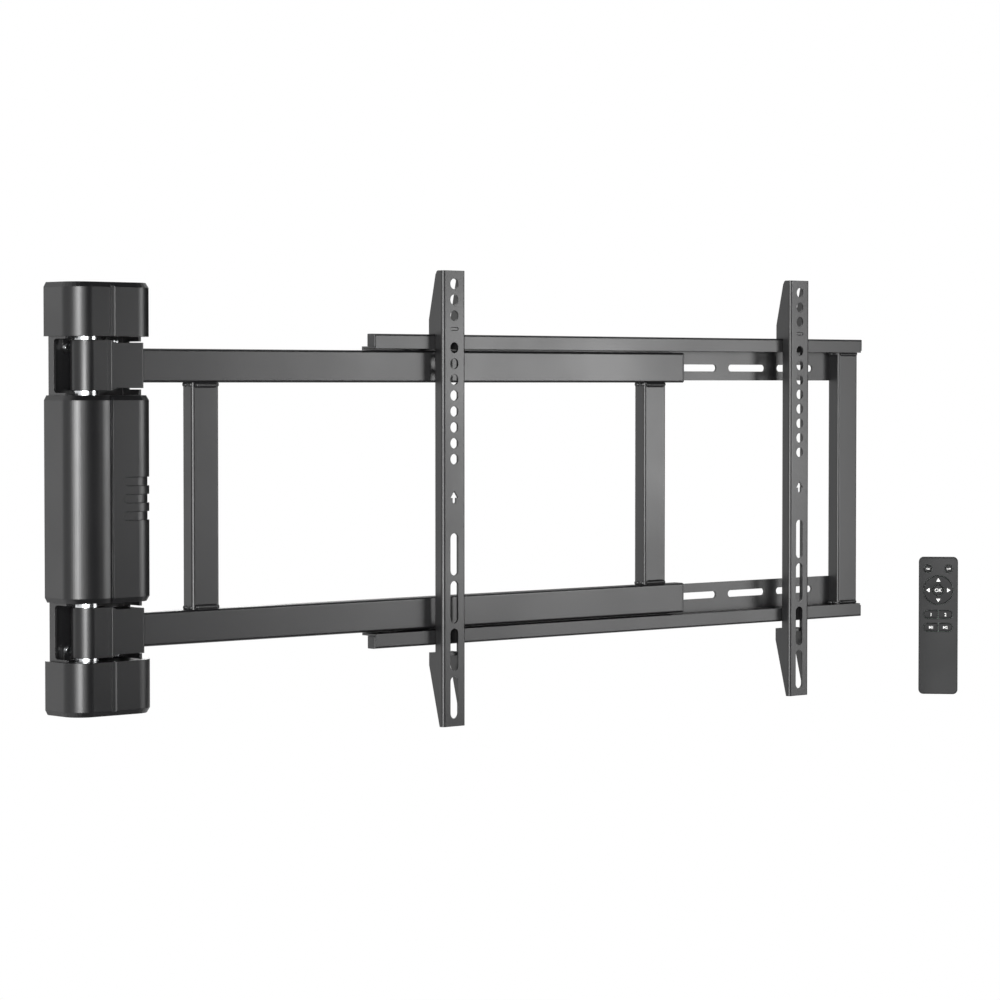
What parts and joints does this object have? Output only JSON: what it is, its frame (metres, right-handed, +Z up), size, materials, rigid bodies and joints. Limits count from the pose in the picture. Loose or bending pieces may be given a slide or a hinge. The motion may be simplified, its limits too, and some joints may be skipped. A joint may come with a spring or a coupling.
{
  "type": "motorized tv wall mount",
  "caption": "Wall column with a driven hinge, a twin-tube swing arm, a slotted rail frame that carries two hooked TV brackets, and a remote standing beside it.",
  "frame": {"origin": "middle of the four-hole wall pattern, on the back face of the column that lies on the wall", "axes": "+X along the folded arm and rails, away from the column; +Y into the wall; +Z up"},
  "size_m": [1.1778, 0.0466, 0.4441],
  "materials": {
    "black_steel": "fine textured powder coat, satin",
    "cover_plastic": "moulded ABS with a fine spark texture",
    "plug_plastic": "moulded polyethylene plugs",
    "bright_steel": "turned and ground steel",
    "bronze": "sintered bronze bushes",
    "motor_paint": "motor can, satin",
    "board": "glass-epoxy board with solder mask",
    "switch_plastic": "switch, socket and receiver bodies",
    "cam_plastic": "acetal cam",
    "remote_plastic": "moulded ABS, fine texture",
    "button_rubber": "silicone rubber buttons",
    "battery_jacket": "bare cell jackets without print"
  },
  "bodies": {
    "column": {"wall_channel": "black_steel", "top_cap": "cover_plastic", "middle_cover": "cover_plastic", "bottom_cap": "cover_plastic", "top_hinge_plate": "black_steel", "upper_mid_hinge_plate": "black_steel", "lower_mid_hinge_plate": "black_steel", "bottom_hinge_plate": "black_steel", "hinge_bushes": "bronze", "thrust_washers": "bright_steel", "hinge_plate_screws": "bright_steel", "motor_can": "motor_paint", "motor_gearbox": "bright_steel", "motor_bracket": "black_steel", "control_board": "board", "infrared_receiver": "switch_plastic", "limit_switches": "switch_plastic", "dc_inlet_socket": "switch_plastic", "remote_front_shell": "remote_plastic", "remote_back_shell": "remote_plastic", "remote_battery_door": "remote_plastic", "remote_board": "board", "remote_batteries": "battery_jacket"},
    "swing_arm": {"pivot_shaft": "bright_steel", "shaft_collars": "bright_steel", "driven_gear": "bright_steel", "switch_cam": "cam_plastic", "upper_hub_tube": "black_steel", "lower_hub_tube": "black_steel", "upper_knuckle_cover": "cover_plastic", "lower_knuckle_cover": "cover_plastic", "knuckle_screws": "bright_steel", "upper_arm": "black_steel", "lower_arm": "black_steel", "inner_post": "black_steel", "outer_post": "black_steel", "arm_end_plugs": "plug_plastic", "rail_clamp_bolts": "black_steel"},
    "pinion": {"motor_shaft": "bright_steel", "drive_pinion": "bright_steel"},
    "rail_frame": {"upper_rail": "black_steel", "lower_rail": "black_steel", "end_post": "black_steel", "rail_end_caps": "plug_plastic"},
    "left_bracket": {"left_tv_bracket": "black_steel", "left_hook_plate": "black_steel", "left_lock_plate": "black_steel", "left_lock_screw": "bright_steel"},
    "right_bracket": {"right_tv_bracket": "black_steel", "right_hook_plate": "black_steel", "right_lock_plate": "black_steel", "right_lock_screw": "bright_steel"},
    "left_round_button_key": {"left_round_button": "button_rubber"},
    "right_round_button_key": {"right_round_button": "button_rubber"},
    "arrow_ring_key": {"arrow_ring": "button_rubber"},
    "ok_button_key": {"ok_button": "button_rubber"},
    "button_one_key": {"button_one": "button_rubber"},
    "button_two_key": {"button_two": "button_rubber"},
    "memory_one_button_key": {"memory_one_button": "button_rubber"},
    "memory_two_button_key": {"memory_two_button": "button_rubber"}
  },
  "joints": [
    {"name": "arm_swing", "type": "hinge", "parent": "column", "child": "swing_arm", "pos_m": [-0.0182, -0.024, 0], "axis": [0, 0, -1], "range_deg": [0, 90]},
    {"name": "pinion_spin", "type": "hinge", "parent": "column", "child": "pinion", "pos_m": [0.0088, -0.024, 0], "axis": [0, 0, -1], "range_deg": [-113, 0]},
    {"name": "rail_adjust", "type": "slide", "parent": "swing_arm", "child": "rail_frame", "axis": [1, 0, 0], "range_m": [-0.022, 0.022]},
    {"name": "left_bracket_slide", "type": "slide", "parent": "rail_frame", "child": "left_bracket", "axis": [1, 0, 0], "range_m": [-0.07, 0.2]},
    {"name": "right_bracket_slide", "type": "slide", "parent": "rail_frame", "child": "right_bracket", "axis": [1, 0, 0], "range_m": [-0.2, 0.09]},
    {"name": "left_round_button_press", "type": "slide", "parent": "column", "child": "left_round_button_key", "axis": [0.7627, 0.6468, 0], "range_m": [0, 0.0006], "stiffness_N_per_m": 300},
    {"name": "right_round_button_press", "type": "slide", "parent": "column", "child": "right_round_button_key", "axis": [0.7627, 0.6468, 0], "range_m": [0, 0.0006], "stiffness_N_per_m": 300},
    {"name": "arrow_ring_press", "type": "slide", "parent": "column", "child": "arrow_ring_key", "axis": [0.7627, 0.6468, 0], "range_m": [0, 0.0006], "stiffness_N_per_m": 300},
    {"name": "ok_button_press", "type": "slide", "parent": "column", "child": "ok_button_key", "axis": [0.7627, 0.6468, 0], "range_m": [0, 0.0006], "stiffness_N_per_m": 300},
    {"name": "button_one_press", "type": "slide", "parent": "column", "child": "button_one_key", "axis": [0.7627, 0.6468, 0], "range_m": [0, 0.0006], "stiffness_N_per_m": 300},
    {"name": "button_two_press", "type": "slide", "parent": "column", "child": "button_two_key", "axis": [0.7627, 0.6468, 0], "range_m": [0, 0.0006], "stiffness_N_per_m": 300},
    {"name": "memory_one_button_press", "type": "slide", "parent": "column", "child": "memory_one_button_key", "axis": [0.7627, 0.6468, 0], "range_m": [0, 0.0006], "stiffness_N_per_m": 300},
    {"name": "memory_two_button_press", "type": "slide", "parent": "column", "child": "memory_two_button_key", "axis": [0.7627, 0.6468, 0], "range_m": [0, 0.0006], "stiffness_N_per_m": 300}
  ],
  "couplings": [
    {"joint": "pinion_spin", "follows": "arm_swing", "ratio": -1.25}
  ]
}
